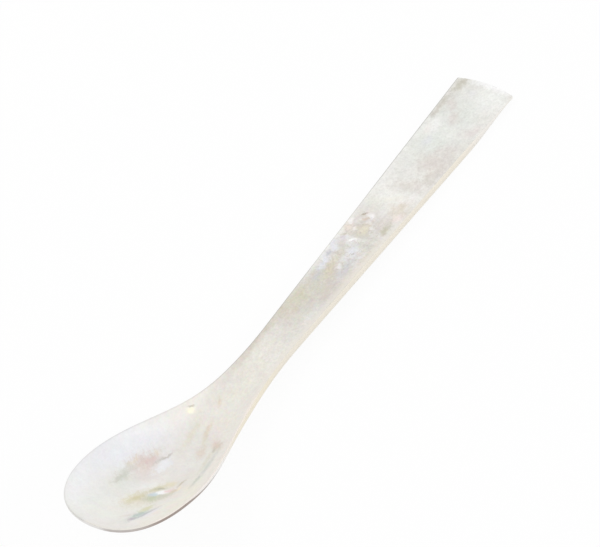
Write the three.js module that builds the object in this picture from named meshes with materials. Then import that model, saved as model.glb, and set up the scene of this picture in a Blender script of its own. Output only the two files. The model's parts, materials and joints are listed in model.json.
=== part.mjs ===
// Egg spoon cut from one piece of shell: a shallow oval bowl and a flat handle that widens to its end.
// Millimetres, +Z up, +X from the tip of the bowl to the end of the handle.
// It lies on the back of its bowl and on the underside of its handle.
import * as THREE from 'three';

// Outline seen from above, in runs along the handle's line from the tip of the bowl
const tipRun = 14.5; // tip of the bowl to its widest place
const shoulderRun = 42.5; // widest place to the neck
const handleRun = 70; // neck to the corners of the handle's end
const bowlWidth = 24;
const neckWidth = 8;
const endWidth = 13;
const endBow = 0.9; // how far the middle of the handle's end stands out past its corners

// How full the outline's curves are, as shares of the run or half width that each one spans
const tipRoundness = 0.667;
const tipFullness = 0.62;
const shoulderFullness = 0.31;
const neckFullness = 0.565;

// Side view: the handle is straight, the rim of the bowl rises towards its tip and droops at the very tip
const bowlTilt = 14; // degrees
const bendLength = 20;
const bendToNeck = 9; // straight stretch of the handle's line between the bend and the neck
const tipDrop = 1;
const tipDropLength = 15;

// Hollow of the bowl
const bowlDepth = 5.8;
const deepestBehindWidest = 7.5;
const hollowToNeck = 1; // the hollow has run out this far before the neck
const noseCurve = 2.2; // power of the floor's rise from the deepest place to the tip
const sideCurve = 2.2; // power of the floor's rise from the middle to the rim

// Thickness of the shell
const rimThickness = 0.9;
const floorThickness = 1.4;
const handleThickness = 1.8;
const endThickness = 0.7;
const endTaper = 16; // the handle thins to its end over this length
const edgeChamfer = 0.2;

// Fineness of the faceted surface
const noseSteps = 14;
const shoulderSteps = 20;
const gripSteps = 3;
const taperSteps = 6;
const columns = 18;

// Places and limits that follow from the sizes
const widestAt = tipRun;
const neckAt = widestAt + shoulderRun;
const spoonLength = neckAt + handleRun;
const bendTo = neckAt - bendToNeck;
const deepestAt = widestAt + deepestBehindWidest;
const hollowTo = neckAt - hollowToNeck;
const taperFrom = spoonLength - endTaper;
const chamfer = Math.min(edgeChamfer, 0.3 * Math.min(rimThickness, endThickness));
const { smootherstep, lerp, degToRad, clamp } = THREE.MathUtils;

// Area under a smootherstep: level before 0, a straight slope of 1 after 1
function easedSlope(t) {
  const inside = clamp(t, 0, 1);
  return inside ** 4 * (inside * (inside - 3) + 2.5) + Math.max(t - 1, 0);
}

// Height of the rim and of the handle's top face, which is at 0
function rimHeight(x) {
  const rise = Math.tan(degToRad(bowlTilt)) * bendLength * easedSlope((bendTo - x) / bendLength);
  const droop = tipDrop * Math.max(1 - x / tipDropLength, 0) ** 2;
  return rise - droop;
}

// Depth of the hollow on the middle line, below the rim
function hollowDepth(x) {
  const forward = 1 - clamp((deepestAt - x) / deepestAt, 0, 1) ** noseCurve;
  const backward = 1 - smootherstep(x, deepestAt, hollowTo);
  return bowlDepth * (x < deepestAt ? forward : backward);
}

// Top and underside; across runs from -1 at one edge to 1 at the other
function topHeight(x, across) {
  return rimHeight(x) - hollowDepth(x) * (1 - Math.abs(across) ** sideCurve);
}

// Thickness of the shell; the bowl's wall thins to its rim at the sides and at the tip
function shellThickness(x, across) {
  const insideRim = (1 - across ** 2) * (1 - Math.max(1 - x / widestAt, 0) ** 2);
  const bowlWall = lerp(rimThickness, floorThickness, insideRim);
  const wall = lerp(bowlWall, handleThickness, smootherstep(x, widestAt, neckAt));
  return lerp(wall, endThickness, smootherstep(x, taperFrom, spoonLength));
}

function undersideHeight(x, across) {
  return topHeight(x, across) - shellThickness(x, across);
}

function bowAt(x, across) {
  return endBow * (1 - across ** 2) * smootherstep(x, taperFrom, spoonLength);
}

// Stations of the outline's left half, each with its half width and its place inside the chamfer
function outlineStations() {
  const tip = new THREE.Vector2(0, 0);
  const widest = new THREE.Vector2(widestAt, bowlWidth / 2);
  const neck = new THREE.Vector2(neckAt, neckWidth / 2);
  const corner = new THREE.Vector2(spoonLength, endWidth / 2);
  const taper = neck.clone().lerp(corner, Math.max(1 - endTaper / handleRun, 0));
  const edge = corner.clone().sub(neck).normalize();
  const nose = new THREE.CubicBezierCurve(
    tip,
    new THREE.Vector2(0, tipRoundness * widest.y),
    new THREE.Vector2(widestAt - tipFullness * tipRun, widest.y),
    widest,
  );
  const shoulder = new THREE.CubicBezierCurve(
    widest,
    new THREE.Vector2(widestAt + shoulderFullness * shoulderRun, widest.y),
    neck.clone().addScaledVector(edge, -neckFullness * shoulderRun),
    neck,
  );
  const runs = [
    [nose, noseSteps],
    [shoulder, shoulderSteps],
    [new THREE.LineCurve(neck, taper), gripSteps],
    [new THREE.LineCurve(taper, corner), taperSteps],
  ];
  const stations = [{ x: 0, half: 0, insideX: chamfer, insideHalf: 0 }];
  for (const [curve, steps] of runs) {
    for (let step = 1; step <= steps; step += 1) {
      const { x, y } = curve.getPoint(step / steps);
      const along = curve.getTangent(step / steps);
      stations.push({ x, half: y, insideX: x + chamfer * along.y, insideHalf: y - chamfer * along.x });
    }
  }
  stations.at(-1).insideX = spoonLength - chamfer;
  return stations;
}

// One closed shell: a top sheet, an underside sheet and a chamfered wall round their edge
function spoonGeometry() {
  const stations = outlineStations();
  const last = stations.length - 1;
  const positions = [];
  const triangles = [];

  const addPoint = (x, y, z) => positions.push(x, y, z) / 3 - 1;
  const acrossOf = (column) => Math.sin((Math.PI / 2) * ((2 * column) / columns - 1));

  function sheet(height) {
    return stations.map(({ half, insideX, insideHalf }) => {
      if (half === 0) {
        return Array(columns + 1).fill(addPoint(insideX, 0, height(insideX, 0)));
      }
      return Array.from({ length: columns + 1 }, (_, column) => {
        const across = (acrossOf(column) * insideHalf) / half;
        return addPoint(insideX + bowAt(insideX, across), across * half, height(insideX, across));
      });
    });
  }

  function addQuad(a, b, c, d) {
    triangles.push(a, b, c);
    if (d !== a) {
      triangles.push(a, c, d);
    }
  }

  const top = sheet(topHeight);
  const underside = sheet(undersideHeight);
  for (let row = 0; row < last; row += 1) {
    for (let column = 0; column < columns; column += 1) {
      const next = column + 1;
      addQuad(top[row][column], top[row + 1][column], top[row + 1][next], top[row][next]);
      addQuad(underside[row][next], underside[row + 1][next], underside[row + 1][column], underside[row][column]);
    }
  }

  // The edge, from the tip along the left side, across the handle's end and back along the right side
  const edge = [[0, columns]];
  for (let row = 1; row <= last; row += 1) edge.push([row, columns]);
  for (let column = columns - 1; column >= 0; column -= 1) edge.push([last, column]);
  for (let row = last - 1; row > 0; row -= 1) edge.push([row, 0]);

  const wallRing = (height) =>
    edge.map(([row, column]) => {
      const { x, half } = stations[row];
      const across = acrossOf(column);
      return addPoint(x + bowAt(x, across), across * half, height(x, across));
    });
  const rings = [
    edge.map(([row, column]) => top[row][column]),
    wallRing((x, across) => topHeight(x, across) - chamfer),
    wallRing((x, across) => undersideHeight(x, across) + chamfer),
    edge.map(([row, column]) => underside[row][column]),
  ];
  for (let ring = 0; ring < rings.length - 1; ring += 1) {
    const [upper, lower] = [rings[ring], rings[ring + 1]];
    for (let place = 0; place < edge.length; place += 1) {
      const next = (place + 1) % edge.length;
      addQuad(upper[place], upper[next], lower[next], lower[place]);
    }
  }

  const geometry = new THREE.BufferGeometry();
  geometry.setAttribute('position', new THREE.Float32BufferAttribute(positions, 3));
  geometry.setIndex(triangles);
  geometry.computeVertexNormals();
  return geometry;
}

// Slope of the line that the underside rests on: the lowest one under the neck that touches it on both sides
function restingSlope() {
  const underside = outlineStations().map(({ x }) => ({ x, z: undersideHeight(x, 0) }));
  const bowlSide = underside.filter(({ x }) => x < neckAt);
  const handleSide = underside.filter(({ x }) => x > neckAt);
  let lowest = Infinity;
  let slope = 0;
  for (const front of bowlSide) {
    for (const back of handleSide) {
      const tilt = (back.z - front.z) / (back.x - front.x);
      const underNeck = front.z + tilt * (neckAt - front.x);
      if (underNeck < lowest) {
        lowest = underNeck;
        slope = tilt;
      }
    }
  }
  return slope;
}

const shell = new THREE.MeshStandardMaterial({ color: 0xe8e5dd, roughness: 0.28, metalness: 0 });
const shellSpoon = new THREE.Mesh(spoonGeometry(), shell);
shellSpoon.name = 'shell_spoon';
shellSpoon.rotation.y = Math.atan(restingSlope());

// The origin is on the resting surface, under the middle of the spoon's length
const box = new THREE.Box3().setFromObject(shellSpoon, true);
shellSpoon.position.set(-(box.min.x + box.max.x) / 2, 0, -box.min.z);

const eggSpoon = new THREE.Group();
eggSpoon.add(shellSpoon);

export default eggSpoon;
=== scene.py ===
"""Egg spoon cut from one piece of shell: its fine surface, its nacre and the studio that shows it."""
import json
import math
from types import SimpleNamespace
from typing import NamedTuple

import bpy
from bpy.props import FloatProperty, FloatVectorProperty, PointerProperty
from bpy.types import Operator, Panel, PropertyGroup
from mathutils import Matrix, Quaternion, Vector


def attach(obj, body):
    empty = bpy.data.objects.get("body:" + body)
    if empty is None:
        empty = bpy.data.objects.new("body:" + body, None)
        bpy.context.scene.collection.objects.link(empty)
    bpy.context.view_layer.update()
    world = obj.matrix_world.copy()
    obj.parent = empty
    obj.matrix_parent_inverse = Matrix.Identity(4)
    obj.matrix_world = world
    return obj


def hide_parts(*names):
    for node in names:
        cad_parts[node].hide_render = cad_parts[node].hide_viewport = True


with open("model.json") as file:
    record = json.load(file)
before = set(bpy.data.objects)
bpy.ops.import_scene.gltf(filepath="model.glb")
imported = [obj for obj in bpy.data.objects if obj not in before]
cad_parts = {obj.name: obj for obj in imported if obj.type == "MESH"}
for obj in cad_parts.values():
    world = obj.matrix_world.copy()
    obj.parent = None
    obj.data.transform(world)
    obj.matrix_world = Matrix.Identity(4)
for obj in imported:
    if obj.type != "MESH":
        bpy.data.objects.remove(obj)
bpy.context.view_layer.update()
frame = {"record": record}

bl_info = {
    "name": "Shell Egg Spoon",
    "version": (1, 0, 0),
    "blender": (4, 5, 0),
    "location": "View3D > Sidebar > Egg Spoon",
    "description": "Builds an egg spoon cut from shell, and the studio that shows it",
    "category": "Add Mesh",
}

MM = 0.001
CAD_NODE = "shell_spoon"
BODY = "root"

# Names of what the spoon's mesh carries for its material
PLACE = "place"
CUT = "cut"
LAYER = "layer"
INSET = "inset"

# Fineness of the spoon's surface: rows from the tip to the end, columns from the middle to each edge
NOSE_ROWS = 84
SHOULDER_ROWS = 110
HANDLE_ROWS = 124
END_CORNER_ROWS = 5
END_WALL_ROWS = 3
FACE_COLUMNS = 26
CORNER_COLUMNS = 4
WALL_COLUMNS = 2
ROWS = NOSE_ROWS + SHOULDER_ROWS + HANDLE_ROWS + END_CORNER_ROWS + END_WALL_ROWS
COLUMNS = FACE_COLUMNS + CORNER_COLUMNS + WALL_COLUMNS
MERGE_DISTANCE = 0.0005 * MM

# Blistered stretch of the handle: middle and half sizes in millimetres, and where in these it fades
BLISTER_MIDDLE = (80.5, 0.8)
BLISTER_REACH = (12.5, 7.0)
BLISTER_FADE = (0.45, 1.0)

# Large and small blisters: cells to the millimetre, their shares, how they drift and where they swell up
BLISTER_SCALES = (0.42, 0.95)
BLISTER_SHARES = (0.65, 0.35)
BLISTER_SMOOTHNESS = 0.4
BLISTER_DRIFT = 3.0
BLISTER_DRIFT_SCALE = 0.3
BLISTER_SWELL = (0.75, 0.15)

# Swell over which the painted shade in the creases and the painted highlights on the tops of the blisters
# come out
CREASE_SHADE_RANGE = (0.9, 0.1)
CREST_HIGHLIGHT_RANGE = (0.7, 1.0)

# The blisters are ground away over this width along the edges
EDGE_FADE = 1.2 * MM

# Uneven ground faces: waves to the millimetre, their share, and the size and slant of the ripples
WAVE_SCALE = 0.09
WAVE_SHARE = 0.7
RIPPLE_SIZE = (5.0, 1.3, 3.0)
RIPPLE_SLANT = 0.25

# A mark in the shell: what is left of it at its half sizes, how steeply it fades there,
# how many half sizes it reaches, and how deep it goes in millimetres
MARK_RIM = 0.1
MARK_FADE = 2.6
MARK_REACH = 3.0
MARK_DEPTH = 1000.0

# How far noise moves the broad marks and the thin ones, in millimetres
BROAD_WARP = 2.2
THIN_WARP = 0.8

# How far each noise pushes the outlines of the marks, in half sizes
TINT_STREAKS = 0.3
RAGGED_STREAKS = 1.1
RAGGED_SPIKES = 1.3
CRISP_SHARE = 0.7
CLOUDY_MOTTLE = 1.2
CLOUDY_SPIKES = 0.6

# Noises drawn out into streaks and spikes: turn in degrees and size in millimetres
STREAK_TURN = -12
STREAK_SIZE = (3.6, 0.5, 2.0)
SPIKE_TURN = 50
SPIKE_SIZE = (1.8, 0.3, 1.0)

# Range of their noise over which the clouds turn pale
CLOUD_RANGE = (-0.15, 0.15)

# Fine cracks: cells to the millimetre, distance from a cell's border, and the mottling that opens them
CRACK_SCALE = 0.62
CRACK_WIDTH = (0.12, 0.02)
CRACK_RANGE = (-0.1, 0.15)

# Mean of the crinkles, which is taken off so that they only vary the light
CRINKLE_MEAN = 0.08

# Growth lines in the cut edge: how many in its thickness, and how many to the millimetre along it
GROWTH_LINES = 9
GROWTH_LINE_SCALE = 0.12

# Brown painted shade in the near rim's cut edge: where in the thickness it begins, at the nose and behind
# it, and how it fades
BROWN_FROM = (0.9, 0.05)
BROWN_FADE = (0.1, -0.25)

# Where looks change along the spoon, as stretches in millimetres from the tip
BOWL_ENDS = (26.0, 45.0)
END_BEGINS = (92.0, 102.0)
FLECKS_BEGIN = (12.0, 45.0)
FLECKS_END = (74.0, 100.0)
GRAIN_BEGINS = (30.0, 60.0)
GOLDEN_EDGE_BEGINS = (28.0, 34.0)
GOLDEN_EDGE_ENDS = (42.0, 56.0)
WHITE_EDGE_ENDS = (22.0, 32.0)
WHITE_EDGE_RETURNS = (107.0, 119.0)
BROWN_SHADE_THINS = (6.0, 20.0)
BROWN_RIM_BEGINS = (2.0, 8.0)
BROWN_RIM_ENDS = (15.0, 27.0)
FAR_SHADE_LINE_BEGINS = (35.0, 55.0)
FAR_SHADE_LINE_FADES = (70.0, 76.0)
FAR_SHADE_LINE_RETURNS = (88.0, 98.0)
NOSE_STRIP_ENDS = (4.0, 8.0)
RIM_STRIP_ENDS = (38.0, 48.0)
GRIP_STRIP_ENDS = (84.0, 96.0)

# Where looks change across the spoon, in millimetres from its middle line: the near side is below 0
NEAR_WALL = (-3.0, -7.0)
NEAR_SIDE = (-1.5, -4.5)
FAR_SIDE = (0.5, 2.0)

# Strips along the edges, in millimetres from the edge: where they begin to show and where they are full;
# the far one is a line of painted shade
NEAR_STRIP = (1.5, 0.1)
FAR_SHADE_LINE = (0.35, 0.05)

# Ranges of the layer, 0.5 on the upper face and -0.5 on the underside, and of the cut, 1 on the cut edge
UPPER_SIDE = (-0.3, 0.3)
UPPER_CORNER = (0.15, 0.3)
CUT_EDGE = (0.25, 0.95)
FACE_BESIDE_CUT = (0.4, 0.1)

# Camera: width of film that the lens is given for, and the nearest and farthest that it sees, in metres
FILM_WIDTH = 36.0
SEEN_FROM = 0.01
SEEN_TO = 20.0

# Floor and lamps, in metres, and where the lamps stand: azimuth and elevation in degrees
FLOOR_REACH = 3.0
LAMP_DISTANCE = 0.9
FRONT_LAMP_FROM = (15, 30)
TOP_LAMP_FROM = (170, 50)
WHITE = (1.0, 1.0, 1.0, 1.0)

# Rays that see the floor and the surroundings as white
SEEING_RAYS = ("Is Camera Ray", "Is Glossy Ray", "Is Transmission Ray")


def shade(red, green, blue):
    """A colour written as it shows on a screen, 0 to 255, turned into the light it reflects."""
    shares = (red / 255, green / 255, blue / 255)
    return tuple(s / 12.92 if s <= 0.04045 else ((s + 0.055) / 1.055) ** 2.4 for s in shares)


def resting_angle():
    """How far the handle slopes down to its end, from the mount on its flat underside."""
    axis = next(m["axis"] for m in frame["record"]["mounts"] if m["name"] == "handle_underside")
    return math.atan2(-axis[0], -axis[2])


# Properties


def length(name, millimetres, description):
    return FloatProperty(
        name=name, description=description, default=millimetres * MM, subtype="DISTANCE", precision=5
    )


def share(name, value, description):
    return FloatProperty(name=name, description=description, default=value, subtype="FACTOR")


def angle(name, degrees, description):
    return FloatProperty(
        name=name, description=description, default=math.radians(degrees), subtype="ANGLE"
    )


def number(name, value, description):
    return FloatProperty(name=name, description=description, default=value)


def colour(name, screen_colour, description):
    return FloatVectorProperty(
        name=name, description=description, default=shade(*screen_colour), subtype="COLOR",
        min=0.0, max=1.0,
    )


class SpoonShape(PropertyGroup):
    """Sizes of the spoon"""

    tip_run: length("Tip run", 14.5, "Tip of the bowl to its widest place")
    shoulder_run: length("Shoulder run", 42.5, "Widest place of the bowl to the neck")
    handle_run: length("Handle run", 70, "Neck to the corners of the handle's end")
    bowl_width: length("Bowl width", 24, "Width of the bowl at its widest place")
    neck_width: length("Neck width", 8, "Width at the neck")
    end_width: length("End width", 13, "Width of the handle at its end")
    end_bow: length("End bow", 0.9, "How far the middle of the handle's end stands out past its corners")
    tip_roundness: share("Tip roundness", 0.667, "How blunt the tip is, as a share of half the width")
    tip_fullness: share("Tip fullness", 0.62, "How full the nose is, as a share of the tip run")
    shoulder_fullness: share("Shoulder fullness", 0.31, "How full the bowl stays behind its widest place")
    neck_fullness: share("Neck fullness", 0.565, "How far the neck's line reaches into the shoulder")
    bowl_tilt: angle("Bowl tilt", 14, "How far the rim rises from the handle's line")
    bend_length: length("Bend length", 20, "Length over which the handle's line turns into the rim")
    bend_to_neck: length("Bend to neck", 9, "Straight stretch between the bend and the neck")
    tip_drop: length("Tip drop", 1, "How far the very tip droops below the rim's line")
    tip_drop_length: length("Tip drop length", 15, "Length over which the tip droops")
    bowl_depth: length("Bowl depth", 5.8, "Depth of the hollow below the rim")
    deepest_behind_widest: length("Deepest behind widest", 7.5, "Widest place to the deepest place")
    hollow_to_neck: length("Hollow to neck", 1, "The hollow has run out this far before the neck")
    nose_curve: number("Nose curve", 2.2, "Power of the floor's rise to the tip")
    side_curve: number("Side curve", 2.2, "Power of the floor's rise to the sides")
    rim_thickness: length("Rim thickness", 0.9, "Thickness of the shell at the rim")
    floor_thickness: length("Floor thickness", 1.4, "Thickness of the bowl's floor")
    handle_thickness: length("Handle thickness", 1.8, "Thickness of the handle")
    end_thickness: length("End thickness", 0.7, "Thickness of the handle at its end")
    end_taper: length("End taper", 16, "Length over which the handle thins to its end")
    edge_round: length("Edge round", 0.2, "Radius of the eased edges")
    blister_depth: length("Blister depth", 0.3, "Height of the pearl blisters on the handle")
    wave_depth: length("Wave depth", 0.07, "How uneven the ground faces are")
    resting_angle: FloatProperty(
        name="Resting angle", description="How far the handle slopes down to its end as the spoon lies",
        default=resting_angle(), subtype="ANGLE",
    )


class ShellFinish(PropertyGroup):
    """Colours and polish of the shell"""

    pale: colour("Pale shell", (236, 234, 229), "Palest clouds of the shell")
    grey: colour("Grey shell", (228, 225, 219), "Greyer clouds of the shell")
    # Painted shade in the creases between the blisters and painted highlights on their tops
    crease_shade: colour("Crease", (190, 184, 174), "Creases between the pearl blisters")
    crest_highlight: colour("Crest", (240, 241, 244), "Tops of the pearl blisters")
    crack: colour("Crack", (164, 152, 138), "Fine lines round the small pearls")
    cut_edge: colour("Cut edge", (239, 232, 218), "Cut edge of the handle and the neck")
    warm_edge: colour("Warm edge", (240, 231, 210), "Warmer stretches of the cut edge")
    # Painted shade: the dark brown band in the cut edge along the bowl's near rim
    rim_edge_shade: colour("Rim edge", (158, 142, 134), "Brown outer layer in the rim's cut edge")
    tip_edge: colour("Tip edge", (241, 238, 235), "Cut edge at the bowl's nose and the handle's end")
    # Pale pink strip inside the bowl's near rim, brightened as a painted highlight where the steep wall
    # gets less light
    near_rim_highlight: colour("Near rim", (255, 245, 236), "Pale strip inside the bowl's near rim")
    near_strip: colour("Near strip", (236, 230, 220), "Creamy strip along the near edge, handle and nose")
    # Painted shade on the far edge's eased corner, where it turns away from the light
    far_corner_shade: colour("Far corner", (176, 174, 169), "Eased corner of the edge on the far side")
    crease_weight: share("Crease weight", 0.28, "How strongly the creases show")
    crest_highlight_weight: share("Crest weight", 0.5, "How strongly the tops of the blisters show")
    crack_weight: share("Crack weight", 0.3, "How strongly the fine lines show")
    strip_weight: share("Strip weight", 0.6, "How strongly the creamy strip shows")
    far_shade_on_bowl: share("Far corner on bowl", 0.25, "How strongly the far corner shows on the bowl")
    far_shade_gap: share("Far corner gap", 0.6, "How much of the far corner is lost beside the pearls")
    white_end: share("White end", 0.7, "How white the cut edge is at the handle's end")
    brown_nose: share("Brown nose", 0.6, "How brown the rim is at the very tip")
    edge_light: share("Edge light", 0.945, "Lightness of the cut edge between its growth lines")
    edge_lines: share("Edge lines", 0.12, "Strength of the growth lines in the cut edge")
    edge_fall: share("Edge fall", 0.06, "How much darker the cut edge is at its foot than at its top")
    edge_grain: share("Edge grain", 0.2, "Strength of the grain in the cut edge")
    underside_marks: share("Underside marks", 0.3, "How much of the marks shows on the underside")
    shimmer: share("Shimmer", 0.1, "Strength of the drifting hues")
    wall_shimmer: share("Wall shimmer", 0.08, "How much stronger the hues are on the bowl's near wall")
    end_shimmer: share("End shimmer", 0.05, "How much weaker the hues are at the handle's end")
    flecks: share("Flecks", 0.04, "Strength of the coloured flecks")
    neck_flecks: share("Neck flecks", 0.11, "How much stronger the flecks are on the neck")
    grain: share("Grain", 0.45, "Strength of the fine grain")
    mottle: share("Mottle", 0.3, "Strength of the mottling")
    bowl_grain: share("Bowl grain", 0.35, "Share of the grain and mottling that the bowl has")
    bowl_strokes: share("Bowl strokes", 0.06, "Strength of the fine upright strokes in the bowl")
    end_crinkles: share("End crinkles", 0.16, "Strength of the crinkles towards the handle's end")
    roughness: share("Roughness", 0.4, "Roughness of the polish")
    cloud_roughness: share("Cloud roughness", 0.2, "How much the clouds change the roughness")
    coat: share("Coat", 0.2, "Weight of the clear top of the polish")
    coat_roughness: share("Coat roughness", 0.25, "Roughness of the clear top of the polish")
    refraction: number("Refraction", 1.56, "Index of refraction of nacre")
    bump: share("Bump", 0.25, "Strength of the bumps in the polish")
    bump_height: length("Bump height", 0.03, "Height of the bumps in the polish")


class StudioStage(PropertyGroup):
    """Floor, lamps and camera"""

    floor: colour("Floor", (248, 248, 248), "Colour of the floor")
    floor_white: share("Floor white", 0.94, "How far the seen floor is plain white instead of lit")
    fill: number("Fill", 0.77, "Strength of the light from all around")
    front_power: FloatProperty(
        name="Front power", description="Power of the lamp beside the camera", default=1.2, unit="POWER"
    )
    front_size: length("Front size", 300, "Width of the lamp beside the camera")
    top_power: FloatProperty(
        name="Top power", description="Power of the lamp above and behind", default=1.6, unit="POWER"
    )
    top_size: length("Top size", 500, "Width of the lamp above and behind")
    azimuth: angle("Camera azimuth", -40.55, "Direction that the camera looks from")
    elevation: angle("Camera elevation", 47.27, "Height that the camera looks from")
    roll: angle("Camera roll", -19.63, "Turn of the picture")
    distance: length("Camera distance", 700, "Camera to the point that it looks at")
    lens: number("Lens", 224.3, "Focal length in millimetres")
    look_at: FloatVectorProperty(
        name="Look at", description="Point in the middle of the picture",
        default=(5.26 * MM, 3.64 * MM, 6 * MM), subtype="XYZ",
    )


# Node trees


class Socket:
    """An output of a node tree. Arithmetic on it adds Math nodes."""

    def __init__(self, tree, output):
        self.tree = tree
        self.output = output

    def __add__(self, other):
        return self.tree.math("ADD", self, other)

    def __radd__(self, other):
        return self.tree.math("ADD", other, self)

    def __sub__(self, other):
        return self.tree.math("SUBTRACT", self, other)

    def __rsub__(self, other):
        return self.tree.math("SUBTRACT", other, self)

    def __mul__(self, other):
        return self.tree.math("MULTIPLY", self, other)

    def __rmul__(self, other):
        return self.tree.math("MULTIPLY", other, self)

    def __truediv__(self, other):
        return self.tree.math("DIVIDE", self, other)

    def __rtruediv__(self, other):
        return self.tree.math("DIVIDE", other, self)

    def __pow__(self, other):
        return self.tree.math("POWER", self, other)

    def __neg__(self):
        return self.tree.math("MULTIPLY", self, -1)


class Tree:
    """A node tree under construction."""

    def __init__(self, node_tree):
        self.nodes = node_tree.nodes
        self.links = node_tree.links
        self.nodes.clear()

    def node(self, kind, settings=None, sockets=None):
        """Adds a node: its type, its settings, and the values or links of its sockets by name or place."""
        made = self.nodes.new(kind)
        for name, setting in (settings or {}).items():
            setattr(made, name, setting)
        for key, value in (sockets or {}).items():
            self.feed(made.inputs[key], value)
        return made

    def feed(self, socket, value):
        if isinstance(value, Socket):
            self.links.new(value.output, socket)
        else:
            socket.default_value = value

    def out(self, kind, settings=None, sockets=None, output=0):
        """Adds a node and gives one of its outputs."""
        return Socket(self, self.node(kind, settings, sockets).outputs[output])

    def math(self, operation, *values):
        return self.out("ShaderNodeMath", {"operation": operation}, dict(enumerate(values)))

    def vector(self, operation, *values):
        return self.out("ShaderNodeVectorMath", {"operation": operation}, dict(enumerate(values)))

    def scaled(self, vector, factor):
        return self.out("ShaderNodeVectorMath", {"operation": "SCALE"}, {0: vector, "Scale": factor})

    def parts(self, vector):
        made = self.node("ShaderNodeSeparateXYZ", None, {0: vector})
        return [Socket(self, output) for output in made.outputs]

    def joined(self, x, y, z):
        return self.out("ShaderNodeCombineXYZ", None, {0: x, 1: y, 2: z})

    def clamped(self, value):
        return self.out("ShaderNodeClamp", None, {"Value": value})

    def larger(self, a, b):
        return self.math("MAXIMUM", a, b)

    def between(self, a, b, factor):
        return a + (b - a) * factor

    def eased(self, value, low, high):
        """0 at low and 1 at high, level at both."""
        return self.out(
            "ShaderNodeMapRange", {"interpolation_type": "SMOOTHERSTEP"},
            {"Value": value, "From Min": low, "From Max": high},
        )

    def stretch(self, value, begin, end):
        """1 between two stretches and 0 outside them, eased over each."""
        return self.eased(value, *begin) - self.eased(value, *end)

    def blend(self, a, b, factor):
        """Colour a goes over into colour b."""
        sockets = {0: factor, 6: self.opaque(a), 7: self.opaque(b)}
        return self.out("ShaderNodeMix", {"data_type": "RGBA"}, sockets, 2)

    @staticmethod
    def opaque(value):
        return value if isinstance(value, Socket) else (*value, 1.0)

    def noise(self, vector, scale, detail=2.0, roughness=0.5, distortion=0.0, output="Fac"):
        return self.out("ShaderNodeTexNoise", None, {
            "Vector": vector,
            "Scale": scale,
            "Detail": detail,
            "Roughness": roughness,
            "Distortion": distortion,
        }, output)

    def sway(self, vector, scale, **settings):
        """A noise about 0."""
        return self.noise(vector, scale, **settings) - 0.5

    def drift(self, vector, scale, **settings):
        """Three noises about 0, as a vector."""
        noise = self.noise(vector, scale, output="Color", **settings)
        return self.vector("SUBTRACT", noise, (0.5, 0.5, 0.5))

    def placed(self, vector, location, turn, size):
        """The vector as seen from a place, a turn and a size."""
        sockets = {"Vector": vector, "Location": location, "Rotation": turn, "Scale": size}
        return self.out("ShaderNodeMapping", {"vector_type": "TEXTURE"}, sockets)

    def attribute(self, name, output):
        return self.out("ShaderNodeAttribute", {"attribute_name": name}, None, output)


# Shape of the spoon, as rules on the rows and columns of a grid


def cubic(rate, points):
    """A point on a cubic curve and its direction there, as x, y, x rate and y rate."""
    rest = 1 - rate
    weights = (rest**3, 3 * rest * rest * rate, 3 * rest * rate * rate, rate**3)
    slopes = (3 * rest * rest, 6 * rest * rate, 3 * rate * rate)
    values = []
    for axis in (0, 1):
        terms = [weight * point[axis] for weight, point in zip(weights, points)]
        values.append(terms[0] + terms[1] + terms[2] + terms[3])
    for axis in (0, 1):
        steps = [slope * (b[axis] - a[axis]) for slope, a, b in zip(slopes, points, points[1:])]
        values.append(steps[0] + steps[1] + steps[2])
    return values


def spoon_outline(tree, size, row):
    """Half of the outline at a row: place, half width and outward direction."""
    nose = tree.clamped(row / NOSE_ROWS)
    shoulder = tree.clamped((row - NOSE_ROWS) / SHOULDER_ROWS)
    handle = tree.clamped((row - NOSE_ROWS - SHOULDER_ROWS) / HANDLE_ROWS)
    zero = size.tip_run * 0
    widest = (size.tip_run, size.bowl_width / 2)
    neck = (size.neck_at, size.neck_width / 2)
    grip_run = size.handle_run - size.edge_round
    grip_rise = (size.end_width - size.neck_width) / 2 * grip_run / size.handle_run
    grip_length = tree.math("SQRT", grip_run**2 + grip_rise**2)
    reach = size.neck_fullness * size.shoulder_run / grip_length
    nose_x, nose_y, nose_dx, nose_dy = cubic(nose, (
        (zero, zero),
        (zero, size.tip_roundness * widest[1]),
        (widest[0] - size.tip_fullness * size.tip_run, widest[1]),
        widest,
    ))
    bowl_x, bowl_y, bowl_dx, bowl_dy = cubic(shoulder, (
        widest,
        (widest[0] + size.shoulder_fullness * size.shoulder_run, widest[1]),
        (neck[0] - reach * grip_run, neck[1] - reach * grip_rise),
        neck,
    ))
    on_nose = tree.math("LESS_THAN", row, NOSE_ROWS - 0.5)
    on_handle = tree.math("GREATER_THAN", row, NOSE_ROWS + SHOULDER_ROWS - 0.5)
    on_bowl = 1 - on_nose - on_handle
    x = nose_x + (bowl_x - widest[0]) + grip_run * handle
    y = nose_y + (bowl_y - widest[1]) + grip_rise * handle
    dx = nose_dx * on_nose + bowl_dx * on_bowl + grip_run * on_handle
    dy = nose_dy * on_nose + bowl_dy * on_bowl + grip_rise * on_handle
    rate = tree.math("SQRT", dx * dx + dy * dy)
    return x, y, -dy / rate, dx / rate


def rim_height(tree, size, x):
    """Height of the rim and of the handle's top face, which is at 0."""
    bend = (size.bend_to - x) / size.bend_length
    inside = tree.clamped(bend)
    # Area under an eased step: level before the bend, a straight slope after it
    slope = inside**4 * (inside * (inside - 3) + 2.5) + tree.larger(bend - 1, 0)
    droop = size.tip_drop * tree.larger(1 - x / size.tip_drop_length, 0) ** 2
    return tree.math("TANGENT", size.bowl_tilt) * size.bend_length * slope - droop


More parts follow.
